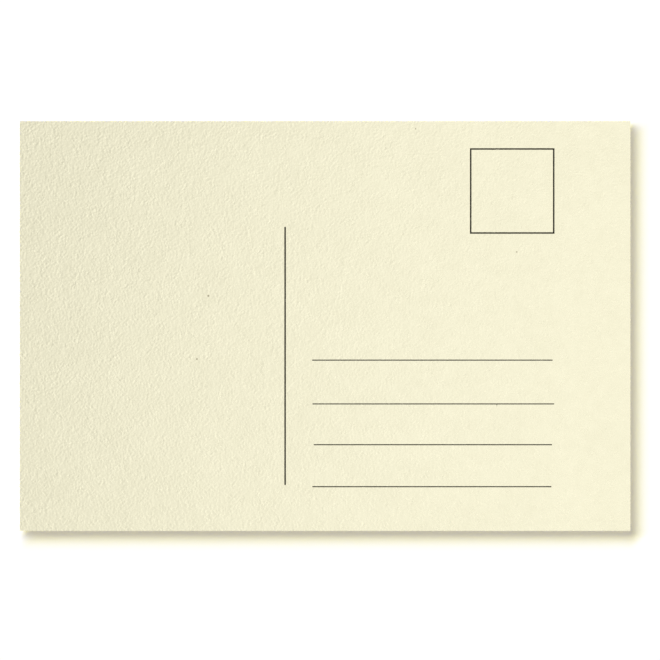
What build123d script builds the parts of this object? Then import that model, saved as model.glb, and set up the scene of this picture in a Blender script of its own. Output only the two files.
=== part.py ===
from build123d import *

import os

# A blank postcard lying flat with its writing side up, in millimetres.
# The origin is the middle of the underside. +X runs to the card's right edge as it is read,
# +Y to its upper edge, and +Z out of the writing side.

# Board: three plies, pressed together wet and trimmed as one
card_length = 152.0
card_height = 102.0
picture_liner_thickness = 0.13
core_ply_thickness = 0.19
writing_liner_thickness = 0.13

# Print: ink that soaks into the writing side and dries level with it
ink_depth = 0.02
heavy_stroke = 0.39  # divider and stamp box
fine_stroke = 0.27  # address lines
print_right_margin = 18.9  # the card's right edge to the stamp box and the longest address line

# Stamp box, over the outside of its stroke
stamp_box_width = 21.05
stamp_box_height = 21.3
stamp_top_margin = 6.75

# Divider between the message and the address
divider_offset = 9.95  # its middle, left of the card's middle
divider_top_margin = 26.3
divider_bottom_margin = 11.4

# Address lines, the first at the top. They differ a little in pitch and in where they start and end.
address_gap = 6.7  # the divider's middle to the line that starts first
address_bottom_margin = 11.0  # the card's lower edge to the middle of the last line
address_pitches = (10.9, 10.15, 10.45)
address_start_trims = (0.0, 0.1, 0.4, 0.05)
address_end_trims = (0.45, 0.05, 0.6, 0.75)

# Places that follow from the sizes above
left_edge = -card_length / 2
right_edge = card_length / 2
lower_edge = -card_height / 2
upper_edge = card_height / 2
core_base = picture_liner_thickness
writing_base = core_base + core_ply_thickness
writing_face = writing_base + writing_liner_thickness
print_right = right_edge - print_right_margin
divider_middle = -divider_offset


def slab(left, right, lower, upper, base, top):
    """A flat solid between the given planes."""
    box = Box(right - left, upper - lower, top - base, align=(Align.MIN, Align.MIN, Align.MIN))
    return Pos(left, lower, base) * box


def ply(base, thickness):
    """One sheet of the board, as large as the card."""
    return slab(left_edge, right_edge, lower_edge, upper_edge, base, base + thickness)


def ink(left, right, lower, upper):
    """A printed area, from its depth in the paper up to the writing face."""
    return slab(left, right, lower, upper, writing_face - ink_depth, writing_face)


def stamp_box():
    """The outline that a stamp is stuck in: one closed stroke, square at the corners."""
    left = print_right - stamp_box_width
    upper = upper_edge - stamp_top_margin
    lower = upper - stamp_box_height
    inset = heavy_stroke
    outside = ink(left, print_right, lower, upper)
    field = ink(left + inset, print_right - inset, lower + inset, upper - inset)
    return outside - field


def divider():
    """The upright rule between the message and the address."""
    half = heavy_stroke / 2
    lower = lower_edge + divider_bottom_margin
    upper = upper_edge - divider_top_margin
    return ink(divider_middle - half, divider_middle + half, lower, upper)


def address_line(index):
    """One rule of the address, counted from the top, standing on the pitches below it."""
    half = fine_stroke / 2
    middle = lower_edge + address_bottom_margin + sum(address_pitches[index:])
    left = divider_middle + address_gap + address_start_trims[index]
    right = print_right - address_end_trims[index]
    return ink(left, right, middle - half, middle + half)


printed = {"stamp_box_outline": stamp_box(), "divider_line": divider()}
for index in range(len(address_start_trims)):
    printed[f"address_line_{index + 1}"] = address_line(index)

# Each stroke fills the shallow bed that it soaks into, so the bed is cut by the stroke itself.
writing_side_liner = ply(writing_base, writing_liner_thickness)
for stroke in printed.values():
    writing_side_liner -= stroke

pieces = {
    "picture_side_liner": ply(0, picture_liner_thickness),
    "core_ply": ply(core_base, core_ply_thickness),
    "writing_side_liner": writing_side_liner,
    **printed,
}

os.makedirs("parts", exist_ok=True)
for name, piece in pieces.items():
    export_step(piece, f"parts/{name}.step")
    print(name, "volume", round(piece.volume, 3), "solids", len(piece.solids()))
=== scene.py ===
import math

import bpy
import numpy as np
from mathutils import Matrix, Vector


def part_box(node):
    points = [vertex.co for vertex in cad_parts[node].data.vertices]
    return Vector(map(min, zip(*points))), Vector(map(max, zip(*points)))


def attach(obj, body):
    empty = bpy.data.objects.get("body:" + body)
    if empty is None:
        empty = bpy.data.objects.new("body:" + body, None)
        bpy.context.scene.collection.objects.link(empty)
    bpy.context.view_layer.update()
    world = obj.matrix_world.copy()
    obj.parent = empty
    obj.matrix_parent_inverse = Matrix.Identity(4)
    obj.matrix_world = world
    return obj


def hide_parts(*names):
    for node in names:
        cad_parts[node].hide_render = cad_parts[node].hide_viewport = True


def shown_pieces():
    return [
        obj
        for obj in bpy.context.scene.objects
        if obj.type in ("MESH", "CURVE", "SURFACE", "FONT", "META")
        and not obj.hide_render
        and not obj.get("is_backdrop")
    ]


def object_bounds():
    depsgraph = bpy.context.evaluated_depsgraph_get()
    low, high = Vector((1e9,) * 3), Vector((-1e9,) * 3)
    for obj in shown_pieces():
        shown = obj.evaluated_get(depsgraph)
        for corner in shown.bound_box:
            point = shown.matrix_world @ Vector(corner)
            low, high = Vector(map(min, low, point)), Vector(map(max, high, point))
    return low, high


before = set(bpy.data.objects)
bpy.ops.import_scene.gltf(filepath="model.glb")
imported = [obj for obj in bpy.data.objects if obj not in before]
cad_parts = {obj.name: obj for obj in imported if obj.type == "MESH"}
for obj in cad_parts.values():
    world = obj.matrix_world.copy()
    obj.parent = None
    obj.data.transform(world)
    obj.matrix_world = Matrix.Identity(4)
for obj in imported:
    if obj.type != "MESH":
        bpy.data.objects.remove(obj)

cadLow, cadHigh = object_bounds()  # the CAD model's box, before anything is dressed
mm = 0.001
sharpDegrees = 50  # edges that turn by more than this stay crisp
mapMargin = 0.01  # left free at the sides of every sheet's map


# Mesh and node helpers

def pourMesh(name, points, groups, finish, nodes):
    # groups holds (faces, uv): faces as rows of corner numbers, uv with one pair for each of those corners
    corners = np.concatenate([faces.ravel() for faces, uv in groups])
    sides = np.concatenate([np.full(len(faces), faces.shape[1]) for faces, uv in groups])
    starts = np.concatenate([[0], np.cumsum(sides)[:-1]])
    unrolled = np.concatenate([uv.reshape(-1, 2) for faces, uv in groups])
    mesh = bpy.data.meshes.new(name)
    mesh.vertices.add(len(points))
    mesh.vertices.foreach_set("co", points.astype(np.float32).ravel())
    mesh.loops.add(len(corners))
    mesh.loops.foreach_set("vertex_index", corners.astype(np.int32))
    mesh.polygons.add(len(sides))
    mesh.polygons.foreach_set("loop_start", starts.astype(np.int32))
    mesh.update(calc_edges=True)
    layer = mesh.uv_layers.new(name="OFBake")
    layer.data.foreach_set("uv", unrolled.astype(np.float32).ravel())
    mesh.shade_smooth()
    mesh.set_sharp_from_angle(angle=math.radians(sharpDegrees))
    mesh.materials.append(finish)
    piece = bpy.data.objects.new(name, mesh)
    bpy.context.scene.collection.objects.link(piece)
    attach(piece, "root")
    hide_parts(*nodes)
    print("made", name, "with", len(sides), "faces")


def turnedOver(groups):
    # the same faces, facing the other way
    return [(faces[:, ::-1], uv[:, ::-1]) for faces, uv in groups]


def addNode(tree, kind, inputs=(), **settings):
    # inputs goes from a socket's name or number to a value or to another node's output
    node = tree.nodes.new(kind)
    for key, value in settings.items():
        setattr(node, key, value)
    for key, value in dict(inputs).items():
        if isinstance(value, bpy.types.NodeSocket):
            tree.links.new(value, node.inputs[key])
        else:
            node.inputs[key].default_value = value
    return node


def newFinish(name):
    # an empty material, with its shader and the Object coordinates that its pattern lies on
    finish = bpy.data.materials.new(name)
    finish.use_nodes = True
    tree = finish.node_tree
    tree.nodes.clear()
    shader = addNode(tree, "ShaderNodeBsdfPrincipled")
    out = addNode(tree, "ShaderNodeOutputMaterial")
    tree.links.new(shader.outputs["BSDF"], out.inputs["Surface"])
    place = addNode(tree, "ShaderNodeTexCoord").outputs["Object"]
    return finish, tree, shader, place


def noiseAt(tree, place, sizeMm, detail):
    # noise whose blotches are about sizeMm across
    inputs = {"Vector": place, "Scale": 1.0 / (sizeMm * mm), "Detail": detail}
    return addNode(tree, "ShaderNodeTexNoise", inputs).outputs["Fac"]


def figure(tree, operation, first, second, **settings):
    # one number from two numbers
    return addNode(tree, "ShaderNodeMath", {0: first, 1: second}, operation=operation, **settings).outputs[0]


def measure(tree, operation, first, second):
    # one number from two vectors
    node = addNode(tree, "ShaderNodeVectorMath", {0: first, 1: second}, operation=operation)
    return node.outputs["Value"]


def remap(tree, value, before, after):
    # carries the span before over to the span after, and stays at its ends beyond them
    sockets = ("Value", "From Min", "From Max", "To Min", "To Max")
    return addNode(tree, "ShaderNodeMapRange", zip(sockets, (value, *before, *after))).outputs[0]


def blend(tree, factor, first, second):
    # a colour between two, each a triple or another node's output
    pair = [tone if isinstance(tone, bpy.types.NodeSocket) else (*tone, 1) for tone in (first, second)]
    return addNode(tree, "ShaderNodeMix", {0: factor, 6: pair[0], 7: pair[1]}, data_type="RGBA").outputs[2]


def weighed(tree, values, weights):
    # the sum of each weight times how far its value is from one half
    total = None
    for value, weight in zip(values, weights):
        part = figure(tree, "MULTIPLY", figure(tree, "SUBTRACT", value, 0.5), weight)
        total = part if total is None else figure(tree, "ADD", total, part)
    return total


def roughen(tree, shader, height, strength, depthMm):
    # a bump that stands depthMm high where height is 1
    inputs = {"Strength": strength, "Distance": depthMm * mm, "Height": height}
    bump = addNode(tree, "ShaderNodeBump", inputs).outputs["Normal"]
    tree.links.new(bump, shader.inputs["Normal"])
    return bump


# Camera: straight above the card, far enough to flatten the view

photoView = {
    "lensMm": 200.0,
    "sensorMm": 36.0,
    "spanMm": 164.26,  # how much of the card's plane the picture is wide
    "aimMm": (1.22, -1.0),  # the picture's middle, from the card's middle
    "clipM": (0.01, 20.0),
}


def placeCamera(view, height):
    # its distance from the card's plane is the span times the lens over the sensor
    data = bpy.data.cameras.new("photoCamera")
    data.lens = view["lensMm"]
    data.sensor_width = view["sensorMm"]
    data.clip_start, data.clip_end = view["clipM"]
    camera = bpy.data.objects.new("photoCamera", data)
    away = view["spanMm"] * mm * view["lensMm"] / view["sensorMm"]
    camera.location = (view["aimMm"][0] * mm, view["aimMm"][1] * mm, height + away)
    bpy.context.scene.collection.objects.link(camera)
    bpy.context.scene.camera = camera


placeCamera(photoView, cadHigh.z)
print("camera placed")


# Finishes

ivoryBoard = {
    "darkIvory": (0.860, 0.823, 0.612),
    "paleIvory": (0.932, 0.893, 0.674),
    "formation": {"sizeMm": 11.0, "detail": 3.0, "weight": 0.70},  # how unevenly the pulp settled
    "cloud": {"sizeMm": 2.6, "detail": 2.0, "weight": 0.90},
    "fibre": {"sizeMm": 0.7, "detail": 2.0, "weight": 0.10},
    "grainMm": (0.57, 0.90),
    "grainShare": (0.64, 0.36),
    "grainDetail": 0.7,
    "grainDepthMm": 0.65,
    "grainStrength": 1.0,
    "grainSwing": (0.55, 1.45),  # the grain is pressed flatter in some places than in others
    "swingMm": 3.0,
    "swingDetail": 1.0,
    "swingSpan": (0.25, 0.75),  # the levels of noise that stand for the ends of the swing
    "roughness": (0.80, 0.93),
    "specular": 0.15,
    "fleckColour": (0.20, 0.16, 0.09),
    "fleckCore": 0.4,  # the share of a fleck's width that is at full strength
    "flecks": (  # place in millimetres, width, strength
        (-29.06, 7.50, 0.70, 0.72),
        (-31.91, -8.23, 0.57, 0.80),
        (47.68, 18.43, 0.60, 0.52),
        (22.53, 49.09, 0.50, 0.68),
    ),
}


def boardFinish(name, board, faceZ):
    # ivory that clouds from dark to pale with the sheet's formation and fibres, over an uneven felt grain,
    # with painted light that brightens the grain's steep flanks
    finish, tree, shader, place = newFinish(name)
    layers = [board[layer] for layer in ("formation", "cloud", "fibre")]
    noises = [noiseAt(tree, place, layer["sizeMm"], layer["detail"]) for layer in layers]
    shade = weighed(tree, noises, [layer["weight"] for layer in layers])
    factor = figure(tree, "ADD", shade, 0.5, use_clamp=True)
    ivory = blend(tree, factor, board["darkIvory"], board["paleIvory"])
    for x, y, width, strength in board["flecks"]:
        away = measure(tree, "DISTANCE", place, (x * mm, y * mm, faceZ))
        half = width * mm / 2
        fleck = remap(tree, away, (half * board["fleckCore"], half), (strength, 0.0))
        ivory = blend(tree, fleck, ivory, board["fleckColour"])
    cloud = noises[1]
    tree.links.new(remap(tree, cloud, (0.0, 1.0), board["roughness"]), shader.inputs["Roughness"])
    grains = [noiseAt(tree, place, size, board["grainDetail"]) for size in board["grainMm"]]
    patches = noiseAt(tree, place, board["swingMm"], board["swingDetail"])
    swing = remap(tree, patches, board["swingSpan"], board["grainSwing"])
    height = figure(tree, "MULTIPLY", weighed(tree, grains, board["grainShare"]), swing)
    bump = roughen(tree, shader, height, board["grainStrength"], board["grainDepthMm"])
    # painted light: the colour is divided by the cosine of the bump's tilt, so steep flanks are painted
    # brighter, standing in for the light that they throw on each other
    flat = addNode(tree, "ShaderNodeNewGeometry").outputs["Normal"]
    steep = measure(tree, "DOT_PRODUCT", bump, flat)
    paintedFlankLight = figure(tree, "DIVIDE", 1.0, steep)  # painted light on steep flanks
    lit = addNode(tree, "ShaderNodeVectorMath", {0: ivory, "Scale": paintedFlankLight}, operation="SCALE").outputs[0]
    tree.links.new(lit, shader.inputs["Base Color"])
    shader.inputs["Specular IOR Level"].default_value = board["specular"]
    return finish


coreBoard = {
    "darkCore": (0.76, 0.71, 0.50),
    "paleCore": (0.88, 0.84, 0.63),
    "streakMm": (1.4, 1.4, 0.03),
    "streakDetail": 3.0,
    "bumpStrength": 0.6,
    "bumpMm": 0.02,
    "roughness": 0.95,
}


def coreFinish(name, core):
    # streaks that lie along the sheet, as the cut ends of layered fibres do
    finish, tree, shader, place = newFinish(name)
    scale = tuple(1 / (size * mm) for size in core["streakMm"])
    stretched = addNode(tree, "ShaderNodeMapping", {"Vector": place, "Scale": scale}).outputs[0]
    inputs = {"Vector": stretched, "Scale": 1.0, "Detail": core["streakDetail"]}
    streak = addNode(tree, "ShaderNodeTexNoise", inputs).outputs["Fac"]
    tree.links.new(blend(tree, streak, core["darkCore"], core["paleCore"]), shader.inputs["Base Color"])
    roughen(tree, shader, streak, core["bumpStrength"], core["bumpMm"])
    shader.inputs["Roughness"].default_value = core["roughness"]
    return finish


lineInk = {
    "darkInk": (0.010, 0.009, 0.005),
    "thinInk": (0.030, 0.026, 0.015),
    "mottleMm": 0.45,
    "mottleDetail": 3.0,
    "bumpStrength": 0.5,
    "bumpMm": 0.02,
    "roughness": 0.7,
    "specular": 0.03,
}


def inkFinish(name, ink):
    # dark warm grey that thins in small patches where the paper took less ink
    finish, tree, shader, place = newFinish(name)
    patch = noiseAt(tree, place, ink["mottleMm"], ink["mottleDetail"])
    tree.links.new(blend(tree, patch, ink["darkInk"], ink["thinInk"]), shader.inputs["Base Color"])
    roughen(tree, shader, patch, ink["bumpStrength"], ink["bumpMm"])
    shader.inputs["Roughness"].default_value = ink["roughness"]
    shader.inputs["Specular IOR Level"].default_value = ink["specular"]
    return finish


ivoryFinish = boardFinish("ivoryBoard", ivoryBoard, cadHigh.z)
coreEdgeFinish = coreFinish("coreBoard", coreBoard)
lineInkFinish = inkFinish("lineInk", lineInk)
print("finishes mixed")


# Board: two felted liners on a core

felt = {
    "waveCount": 240,
    "shortMm": 1.4,
    "longMm": 8.0,
    "reliefMm": 0.0200,  # root mean square height of the felt marks
    "limitMm": 0.038,  # marks are pressed to within this of their middle level
    "rollMm": 0.012,  # how far the trimmed rim is pressed down
    "calmMm": 1.6,  # the marks fade out this close to the rim, where the cutter presses them flat
}
writingLiner = {"pitchMm": 0.41, "seed": 11, "dropMm": 0.008}  # the drop leaves room for the ink's film
pictureLiner = {"pitchMm": 0.6, "seed": 23, "dropMm": 0.0}
cutEdge = {"rings": 3, "fibreMm": 0.008, "seed": 5, "pitchMm": 0.42}
linerMap = {"face": (0.10, 0.99), "edge": (0.03, 0.09), "hidden": (0.005, 0.02)}  # bands across the map
coreMap = {"edge": (0.10, 0.99), "under": (0.01, 0.04), "over": (0.05, 0.08)}
stripShare = 0.8  # how much of its strip a row of the edge fills, so that rows stay apart on the map


def feltRelief(x, y, seed):
    # felt marks: a sum of plane waves in every direction, alike in height, with wavelengths spread evenly
    # by ratio, faded out at the rim, pressed smoothly to the limit on both sides and measured down from
    # the highest mark
    rng = np.random.default_rng(seed)
    count = felt["waveCount"]
    length = felt["shortMm"] * mm * (felt["longMm"] / felt["shortMm"]) ** rng.random(count)
    turn = 2 * np.pi * rng.random(count)
    phase = 2 * np.pi * rng.random(count)
    waves = np.zeros_like(x)
    for size, angle, start in zip(length, turn, phase):
        waves += np.cos((x * np.cos(angle) + y * np.sin(angle)) * 2 * np.pi / size + start)
    fromEnds = np.minimum(x - x.min(), x.max() - x)
    fromSides = np.minimum(y - y.min(), y.max() - y)
    calm = np.clip(np.minimum(fromEnds, fromSides) / (felt["calmMm"] * mm), 0, 1)
    waves *= felt["reliefMm"] / felt["limitMm"] * math.sqrt(2 / count) * calm ** 2 * (3 - 2 * calm)
    return (np.tanh(waves) - 1) * felt["limitMm"] * mm


def gridOver(low, high, pitchMm):
    # x and y of evenly spaced points over a box, about pitchMm apart
    countX = round((high.x - low.x) / (pitchMm * mm)) + 1
    countY = round((high.y - low.y) / (pitchMm * mm)) + 1
    alongX = np.linspace(low.x, high.x, countX)
    alongY = np.linspace(low.y, high.y, countY)
    return np.meshgrid(alongX, alongY, indexing="ij")


def rimOf(countX, countY):
    # numbers of a grid's border points, anticlockwise from the lower left, on a grid numbered along Y first
    lower = np.arange(countX) * countY
    right = (countX - 1) * countY + np.arange(1, countY)
    upper = np.arange(countX - 2, -1, -1) * countY + countY - 1
    left = np.arange(countY - 2, 0, -1)
    return np.concatenate([lower, right, upper, left])


def edgeRings(rim, toZ, seed):
    # cut edge: copies of the rim that step towards the level toZ, with fibres pushed in at random between
    rng = np.random.default_rng(seed)
    share = np.arange(1, cutEdge["rings"] + 1)[:, None] / cutEdge["rings"]
    nearly = 0.0001 * mm
    size = np.abs(rim[:, :2]).max(0)
    outward = np.where(np.abs(rim[:, :2]) > size - nearly, np.sign(rim[:, :2]), 0)
    push = -rng.random((cutEdge["rings"], len(rim))) * 2 * cutEdge["fibreMm"] * mm
    push[-1] = 0
    flat = rim[None, :, :2] + push[:, :, None] * outward[None]
    level = rim[None, :, 2] * (1 - share) + toZ * share
    return np.concatenate([flat, level[:, :, None]], 2)


def wallFaces(rows):
    # quads between each closed row of point numbers and the next one below it, facing out
    pairs = zip(rows[:-1], rows[1:])
    quads = [np.stack([low, np.roll(low, -1), np.roll(high, -1), high], 1) for high, low in pairs]
    return np.concatenate(quads)


def fanFaces(row, middle):
    # triangles from a closed row of point numbers to one middle point, facing down
    return np.stack([np.full(len(row), middle), np.roll(row, -1), row], 1)


def bandUv(count, rows, band):
    # a strip of the band for each row of wall quads, from the top down
    along = np.linspace(mapMargin, 1 - mapMargin, count + 1)
    step = (band[1] - band[0]) / rows
    upper = band[1] - np.arange(rows) * step
    lower = upper - stripShare * step
    u = np.stack([along[:-1], along[1:], along[1:], along[:-1]], 1)
    v = np.stack([lower, lower, upper, upper], 1)
    return np.stack([np.tile(u, (rows, 1)), np.repeat(v, count, 0)], 2)


def planUv(points, band):
    # the sheet seen from above, on a band of the map
    size = np.abs(points[:, :2]).max(0)
    share = points[:, :2] / size / 2 + 0.5
    low = np.array([mapMargin, band[0]])
    high = np.array([1 - mapMargin, band[1]])
    return low + (high - low) * share


def linerSheet(name, node, settings, facesUp):
    # a ply whose outer face is a grid lifted by the felt relief; walls run from its rim to a flat hidden face
    low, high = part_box(node)
    x, y = gridOver(low, high, settings["pitchMm"])
    relief = feltRelief(x, y, settings["seed"]) - settings["dropMm"] * mm
    relief[[0, -1], :] -= felt["rollMm"] * mm
    relief[:, [0, -1]] -= felt["rollMm"] * mm
    outerZ, innerZ, up = (high.z, low.z, 1) if facesUp else (low.z, high.z, -1)
    grid = np.stack([x, y, outerZ + up * relief], 2).reshape(-1, 3)
    rim = rimOf(*x.shape)
    rings = edgeRings(grid[rim], innerZ, cutEdge["seed"] + settings["seed"])
    points = np.concatenate([grid, rings.reshape(-1, 3), [[0, 0, innerZ]]])
    number = np.arange(x.size).reshape(x.shape)
    corners = [number[:-1, :-1], number[1:, :-1], number[1:, 1:], number[:-1, 1:]]
    face = np.stack(corners, 2).reshape(-1, 4)
    rows = [rim] + [len(grid) + ring * len(rim) + np.arange(len(rim)) for ring in range(cutEdge["rings"])]
    wall = wallFaces(rows)
    fan = fanFaces(rows[-1], len(points) - 1)
    groups = [
        (face, planUv(grid, linerMap["face"])[face]),
        (wall, bandUv(len(rim), cutEdge["rings"], linerMap["edge"])),
        (fan, planUv(points, linerMap["hidden"])[fan]),
    ]
    if not facesUp:
        groups = turnedOver(groups)
    pourMesh(name, points, groups, ivoryFinish, [node])
    return {"x": x[:, 0], "y": y[0], "z": grid[:, 2].reshape(x.shape)}


def coreSheet(name, node):
    # the ply between the liners, of which only the cut edge shows: rings between two fans
    low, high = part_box(node)
    x, y = gridOver(low, high, cutEdge["pitchMm"])
    rim = rimOf(*x.shape)
    upper = np.stack([x.ravel()[rim], y.ravel()[rim], np.full(len(rim), high.z)], 1)
    rings = edgeRings(upper, low.z, cutEdge["seed"])
    points = np.concatenate([upper, rings.reshape(-1, 3), [[0, 0, low.z], [0, 0, high.z]]])
    rows = [ring * len(rim) + np.arange(len(rim)) for ring in range(cutEdge["rings"] + 1)]
    wall = wallFaces(rows)
    under = fanFaces(rows[-1], len(points) - 2)
    over = fanFaces(rows[0], len(points) - 1)[:, ::-1]
    groups = [
        (wall, bandUv(len(rim), cutEdge["rings"], coreMap["edge"])),
        (under, planUv(points, coreMap["under"])[under]),
        (over, planUv(points, coreMap["over"])[over]),
    ]
    pourMesh(name, points, groups, coreEdgeFinish, [node])


writingFace = linerSheet("feltedWritingLiner", "writing_side_liner", writingLiner, True)
linerSheet("feltedPictureLiner", "picture_side_liner", pictureLiner, False)
coreSheet("boardCore", "core_ply")
print("board pressed")


# Print: ribbons of ink draped on the felted face

inkFilm = {
    "sectionMm": 0.18,
    "filmMm": 0.008,  # how far the ink stands over the paper in the middle of a stroke
    "sinkMm": 0.012,  # how far it soaks in
    "edgeLift": 0.02,  # the share of the film, squared, that is left at a stroke's edges
    "underShare": 0.8,  # how wide the underside is
    "across": 7,  # points over the crown
    "raggedMm": 0.007,
    "endSteps": (0.0, 0.15, 0.5),  # sections of a rounded end, in half widths
    "endWidth": 0.12,  # the least width at an end, squared
    # a burr's place along the rule in millimetres, how far out it reaches and its half width
    "burrs": {"address_line_2": (42.76, -0.85, 0.04)},
    "seed": 31,
    "boxSeed": 51,
}
ribbonMap = {
    "along": (0.01, 0.95),
    "around": (0.01, 0.99),
    "caps": ((0.975, 0.25), (0.975, 0.75)),
    "capSize": 0.015,
}


def heightOnFace(x, y):
    # the felted grid's height at any place on it, blended from the four points around
    gx, gy, gz = writingFace["x"], writingFace["y"], writingFace["z"]
    u = (x - gx[0]) / (gx[1] - gx[0])
    v = (y - gy[0]) / (gy[1] - gy[0])
    i = np.clip(u.astype(int), 0, len(gx) - 2)
    j = np.clip(v.astype(int), 0, len(gy) - 2)
    u, v = u - i, v - j
    lower = gz[i, j] * (1 - u) + gz[i + 1, j] * u
    upper = gz[i, j + 1] * (1 - u) + gz[i + 1, j + 1] * u
    return lower * (1 - v) + upper * v


def strokeProfile():
    # a stroke's section as (across, up): a low crown from edge to edge, then back underneath
    across = np.linspace(-1, 1, inkFilm["across"])
    crown = inkFilm["filmMm"] * np.sqrt(1 - across ** 2 * (1 - inkFilm["edgeLift"]))
    across = np.concatenate([across, [inkFilm["underShare"], -inkFilm["underShare"]]])
    up = np.concatenate([crown, [-inkFilm["sinkMm"]] * 2])
    return across, up * mm


def raggedEdge(count, seed):
    # small uneven steps along a stroke's edge, smoothed over three sections
    rough = np.random.default_rng(seed).normal(size=count + 2)
    return (rough[:-2] + 2 * rough[1:-1] + rough[2:]) / 4 * inkFilm["raggedMm"] * mm


def raggedSides(count, across, seed):
    # how much farther out each point of each section lies, with a ragged edge for each side of the stroke
    first, second = raggedEdge(count, seed), raggedEdge(count, seed + 1)
    return np.where(across[None] > 0, first[:, None], second[:, None])


def ribbonFaces(sections, ring, closed):
    # quads between neighbouring sections, each a closed ring of points
    row = np.arange(sections if closed else sections - 1)
    here = row[:, None] * ring + np.arange(ring)[None]
    ahead = ((row + 1) % sections)[:, None] * ring + np.arange(ring)[None]
    return np.stack([here, np.roll(here, -1, 1), np.roll(ahead, -1, 1), ahead], 2).reshape(-1, 4)


def ribbonUv(rows, ring):
    # the ribbon unrolled: along it and round its section
    along = np.linspace(*ribbonMap["along"], rows + 1)
    around = np.linspace(*ribbonMap["around"], ring + 1)
    a, r = np.meshgrid(np.arange(rows), np.arange(ring), indexing="ij")
    corners = [(a, r), (a, r + 1), (a + 1, r + 1), (a + 1, r)]
    return np.stack([np.stack([along[i], around[j]], 2) for i, j in corners], 2).reshape(-1, 4, 2)


def capUv(ring):
    # each end's cap as a small disc at the side of the map
    turn = 2 * np.pi * np.arange(ring) / ring
    disc = ribbonMap["capSize"] * np.stack([np.cos(turn), np.sin(turn)], 1)
    return disc[None] + np.array(ribbonMap["caps"])[:, None]


def inkRule(name, node, seed):
    # a straight stroke: the profile carried along the longer side of the CAD rule, rounded off at both ends;
    # a burr pulls one side out by a bell curve
    low, high = (np.array(corner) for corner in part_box(node))
    middle, size = (low + high) / 2, high - low
    axis = int(size[1] > size[0])
    length, half = size[axis], size[1 - axis] / 2
    ends = half * np.array(inkFilm["endSteps"])
    body = np.linspace(half, length - half, round(length / (inkFilm["sectionMm"] * mm)))
    along = np.concatenate([ends, body, length - ends[::-1]])
    noBurr = (0, 0, 1)
    burrAt, burrOut, burrHalf = np.array(inkFilm["burrs"].get(node, noBurr)) * mm
    if burrOut:
        extra = burrAt - low[axis] + burrHalf * np.arange(-2, 3)  # five sections over the burr
        along = np.sort(np.concatenate([along, extra]))
    fromEnd = np.minimum(along, length - along)
    taper = np.sqrt(np.clip(1 - (1 - np.minimum(fromEnd / half, 1)) ** 2, inkFilm["endWidth"], 1))
    across, up = strokeProfile()
    ring = len(across)
    aside = across[None] * (half * taper[:, None] + raggedSides(len(along), across, seed))
    whisker = burrOut * np.exp(-((low[axis] + along - burrAt) / burrHalf) ** 2)
    aside += np.clip(across[None] * np.sign(burrOut), 0, 1) ** 3 * whisker[:, None]
    points = np.zeros((len(along), ring, 3))
    points[:, :, axis] = (low[axis] + along)[:, None]
    points[:, :, 1 - axis] = middle[1 - axis] + aside
    points[:, :, 2] = heightOnFace(points[:, :, 0], points[:, :, 1]) + up[None] * taper[:, None]
    side = ribbonFaces(len(along), ring, False)
    caps = np.stack([np.arange(ring)[::-1], (len(along) - 1) * ring + np.arange(ring)])
    groups = [(side, ribbonUv(len(along) - 1, ring)), (caps, capUv(ring))]
    if axis == 0:
        groups = turnedOver(groups)
    pourMesh(name, points.reshape(-1, 3), groups, lineInkFinish, [node])


def inkBox(name, node, stroke, seed):
    # a square stroke: the profile carried round nested rectangles, so its corners come out mitred
    low, high = (np.array(corner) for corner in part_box(node))
    middle, half = (low + high)[:2] / 2, (high - low)[:2] / 2
    steps = np.linspace(-1, 1, round(2 * half[0] / (inkFilm["sectionMm"] * mm)))[:-1]
    one = np.ones_like(steps)
    sides = ((steps, -one), (one, steps), (-steps, one), (-one, -steps))
    lap = np.concatenate([np.stack(side, 1) for side in sides])
    across, up = strokeProfile()
    inset = stroke / 2 - across[None] * (stroke / 2 + raggedSides(len(lap), across, seed))
    points = np.zeros((len(lap), len(across), 3))
    points[:, :, :2] = middle + lap[:, None, :] * (half - inset[:, :, None])
    points[:, :, 2] = heightOnFace(points[:, :, 0], points[:, :, 1]) + up[None]
    groups = [(ribbonFaces(len(lap), len(across), True), ribbonUv(len(lap), len(across)))]
    pourMesh(name, points.reshape(-1, 3), groups, lineInkFinish, [node])


dividerLow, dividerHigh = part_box("divider_line")  # the stamp box's stroke is as wide as the divider
inkRule("inkDivider", "divider_line", inkFilm["seed"])
for row in range(1, 5):
    inkRule(f"inkAddressLine{row}", f"address_line_{row}", inkFilm["seed"] + 2 * row)
inkBox("inkStampBox", "stamp_box_outline", dividerHigh.x - dividerLow.x, inkFilm["boxSeed"])
print("print laid on")


# Floor and light: one lamp for the card alone, and a fill and two windows for the floor alone

stageSet = {
    "floorM": 4.0,
    "floorColour": (0.95, 0.95, 0.95),
    "floorDropMm": 0.01,
    "worldLevel": 0.15,
}
cardLamp = {  # a strip over the card's right edge, in metres and degrees
    "aside": 0.080,
    "height": 0.485,
    "turn": -14.0,
    "tilt": -2.2,
    "width": 0.10,
    "length": 1.0,
    "level": 0.858,
}
floorLight = {  # each light is the level that it brings to a white floor
    "fill": (0.366, 0.331, 0.246),  # from straight above, so it reaches into the shadow
    "fillDegrees": 4.0,
    "windowAwayM": 60.0,
    # turn is which way a window's shadow falls, clockwise from the right, and fallMm how far, at least
    # and at most; widen is the window's half width over its distance
    "warm": {"light": (0.557, 0.532, 0.072), "turn": 47.8, "fallMm": (1.73, 4.58), "widen": 0.95},
    "cool": {"light": (0.029, 0.077, 0.600), "turn": 46.2, "fallMm": (3.40, 3.95), "widen": 0.90},
}


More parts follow.
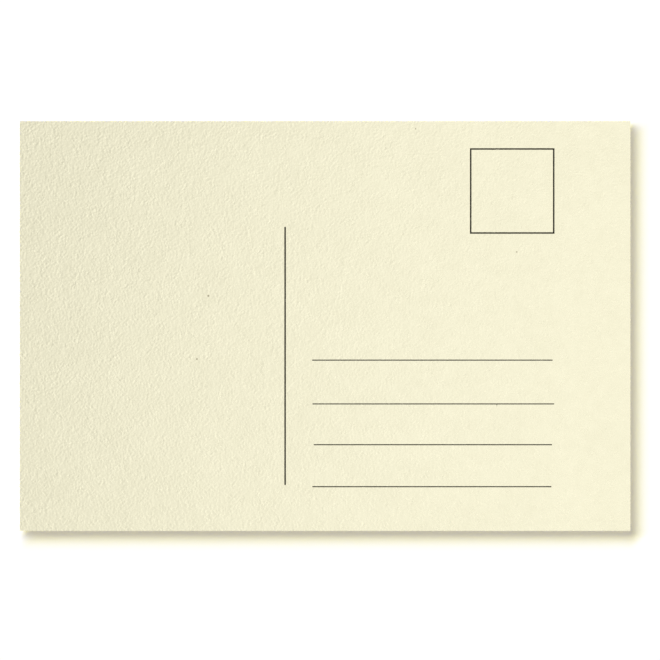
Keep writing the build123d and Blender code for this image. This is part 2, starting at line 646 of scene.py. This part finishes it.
def layFloor(stage):
    # one large square just below the card
    half = stage["floorM"] / 2
    corners = [(-half, -half, 0), (half, -half, 0), (half, half, 0), (-half, half, 0)]
    mesh = bpy.data.meshes.new("paleFloor")
    mesh.from_pydata(corners, [], [(0, 1, 2, 3)])
    finish, tree, shader, place = newFinish("paleFloor")
    shader.inputs["Base Color"].default_value = (*stage["floorColour"], 1)
    shader.inputs["Roughness"].default_value = 1.0
    shader.inputs["Specular IOR Level"].default_value = 0.0
    mesh.materials.append(finish)
    floor = bpy.data.objects.new("paleFloor", mesh)
    floor.location.z = -stage["floorDropMm"] * mm
    bpy.context.scene.collection.objects.link(floor)
    floor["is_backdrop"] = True
    return floor


def lightWorld(stage):
    # an even white room; the camera, gloss and glass see it at full white
    world = bpy.data.worlds.new("whiteRoom")
    bpy.context.scene.world = world
    world.use_nodes = True
    tree = world.node_tree
    tree.nodes.clear()
    path = addNode(tree, "ShaderNodeLightPath").outputs
    seen = figure(tree, "MAXIMUM", path["Is Camera Ray"], path["Is Glossy Ray"])
    seen = figure(tree, "MAXIMUM", seen, path["Is Transmission Ray"])
    level = remap(tree, seen, (0.0, 1.0), (stage["worldLevel"], 1.0))
    room = addNode(tree, "ShaderNodeBackground", {"Color": (1, 1, 1, 1), "Strength": level})
    out = addNode(tree, "ShaderNodeOutputWorld")
    tree.links.new(room.outputs[0], out.inputs["Surface"])


def grouped(name, things):
    # a collection that a lamp's light or shadow is kept to
    group = bpy.data.collections.new(name)
    for thing in things:
        group.objects.link(thing)
    return group


def hangLamp(name, kind, receivers):
    # a lamp that lights the receivers alone
    lamp = bpy.data.objects.new(name, bpy.data.lights.new(name, kind))
    bpy.context.scene.collection.objects.link(lamp)
    lamp.light_linking.receiver_collection = receivers
    return lamp


def hangCardLamp(strip, receivers):
    # a long strip over the card's right edge, tilted a little outwards;
    # its power lights the card's middle to the level asked for
    tilt, turn = math.radians(strip["tilt"]), math.radians(strip["turn"])
    aside, height = strip["aside"], strip["height"]
    away = math.hypot(aside, height)
    facing = (aside * math.sin(tilt) + height * math.cos(tilt)) / away
    reach = strip["length"] / 2 / away
    spread = (1 / (1 + reach ** 2) + math.atan(reach) / reach) / 2  # the ends are farther off
    lamp = hangLamp("cardLamp", "AREA", receivers)
    lamp.data.shape = "RECTANGLE"
    lamp.data.size, lamp.data.size_y = strip["width"], strip["length"]
    lamp.data.energy = strip["level"] * math.pi ** 2 * away ** 2 / (facing * height / away * spread)
    lamp.location = (aside * math.cos(turn), aside * math.sin(turn), height)
    lamp.rotation_euler = (0, tilt, turn)


def hangFill(lights, receivers):
    # a sun straight above; its strength over pi is the level on a white floor
    light = np.array(lights["fill"])
    lamp = hangLamp("floorFill", "SUN", receivers)
    lamp.data.color = light / light.max()
    lamp.data.energy = light.max() * math.pi
    lamp.data.angle = math.radians(lights["fillDegrees"])


def hangWindow(name, window, away, rimZ, receivers, blockers):
    # an upright window far off at the upper left, as high as makes the rim's shadow fall as far as asked for;
    # its power follows from how much of it a level floor sees, as a mean over spots of the window
    high, low = (rimZ / (fall * mm) for fall in window["fallMm"])
    spots = 64
    rise = np.linspace(low, high, spots)[:, None]
    side = np.linspace(-window["widen"], window["widen"], spots)[None]
    seen = (rise / (1 + side ** 2 + rise ** 2) ** 2).mean()
    light = np.array(window["light"])
    turn = math.radians(window["turn"])
    aim = Vector((math.cos(turn), -math.sin(turn), 0))
    lamp = hangLamp(name, "AREA", receivers)
    lamp.data.shape = "RECTANGLE"
    lamp.data.size = 2 * window["widen"] * away
    lamp.data.size_y = (high - low) * away
    lamp.data.color = light / light.max()
    lamp.data.energy = light.max() * (math.pi * away) ** 2 / seen
    lamp.location = -aim * away + Vector((0, 0, (low + high) / 2 * away))
    lamp.rotation_euler = aim.to_track_quat("-Z", "Y").to_euler()
    lamp.visible_camera = False
    lamp.light_linking.blocker_collection = blockers


floor = layFloor(stageSet)
lightWorld(stageSet)
hangCardLamp(cardLamp, grouped("litCard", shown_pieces()))
litFloor = grouped("litFloor", [floor])
hangFill(floorLight, litFloor)
# only the upper plies throw the windows' shadows, which keeps the shadows' corners soft
upperPlies = [bpy.data.objects[name] for name in ("feltedWritingLiner", "boardCore")]
rimZ = writingFace["z"][-1].mean()
for window, plies in (("warm", upperPlies[:1]), ("cool", upperPlies)):
    shade = grouped(window + "Shade", plies)
    hangWindow(window + "Window", floorLight[window], floorLight["windowAwayM"], rimZ, litFloor, shade)
bpy.context.scene.view_settings.view_transform = "Standard"
print("floor laid and lamps hung")
